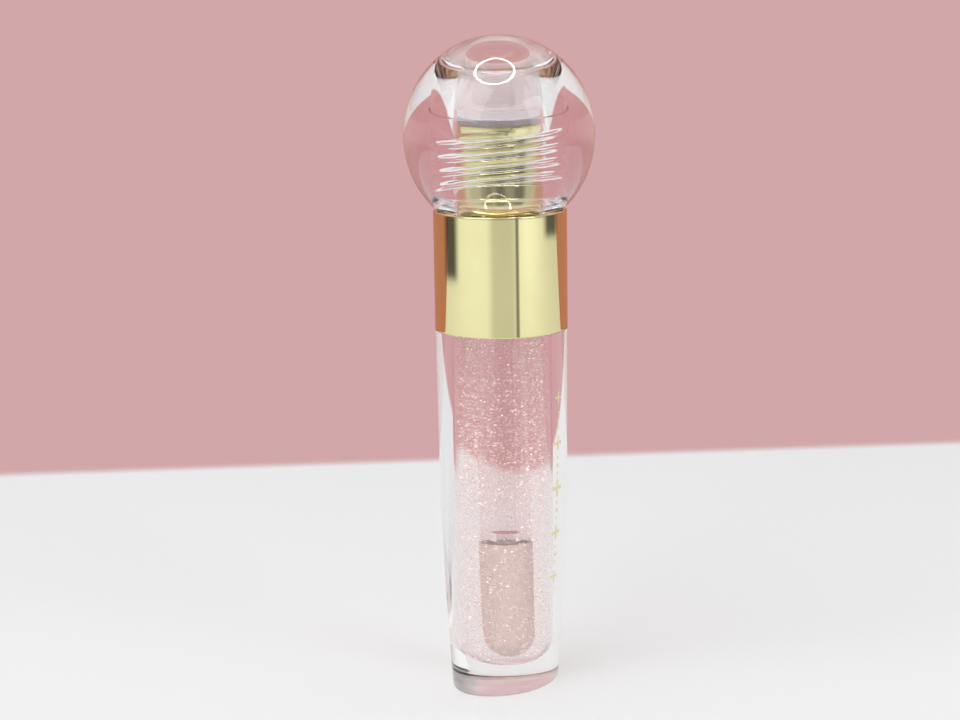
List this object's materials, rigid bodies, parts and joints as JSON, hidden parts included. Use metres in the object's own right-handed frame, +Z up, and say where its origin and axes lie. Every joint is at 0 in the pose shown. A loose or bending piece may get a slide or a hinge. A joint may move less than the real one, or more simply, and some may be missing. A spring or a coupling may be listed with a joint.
{
  "type": "lip gloss tube",
  "caption": "Slim clear lip gloss tube with an oval foot, a gold collar with a threaded neck, and a clear ball cap that carries the applicator wand.",
  "frame": {"origin": "middle of the flat foot, on the surface that the tube stands on", "axes": "+Z up along the tube to the ball cap; +X along the long way of the oval foot; -Y out of one flattened face"},
  "size_m": [0.0285, 0.0284, 0.0995],
  "materials": {
    "clear_bottle": "polished clear",
    "gold_plate": "mirror gold plating on plastic",
    "wiper_plastic": "soft natural polyethylene",
    "gloss_gel": "pale pink gel with fine glitter",
    "clear_cap": "polished clear",
    "washer_foam": "fine closed-cell foam",
    "milky_plastic": "milky natural polypropylene",
    "clear_stem": "clear moulded rod",
    "core_plastic": "natural moulded plastic",
    "flock": "short flock wetted with gloss"
  },
  "bodies": {
    "bottle": {"bottle": "clear_bottle", "collar": "gold_plate", "wiper": "wiper_plastic", "gloss": "gloss_gel"},
    "cap_seal": {"seal_washer": "washer_foam"},
    "cap": {"ball_cap": "clear_cap", "wand_head": "milky_plastic", "stem": "clear_stem", "applicator_core": "core_plastic", "applicator_flock": "flock"}
  },
  "joints": [
    {"name": "cap_lift", "type": "slide", "parent": "bottle", "child": "cap_seal", "axis": [0, 0, 1], "range_m": [0, 0.083]},
    {"name": "cap_turn", "type": "hinge", "parent": "cap_seal", "child": "cap", "pos_m": [0, 0, 0.0877], "axis": [0, 0, 1], "range_deg": [0, 648]}
  ]
}
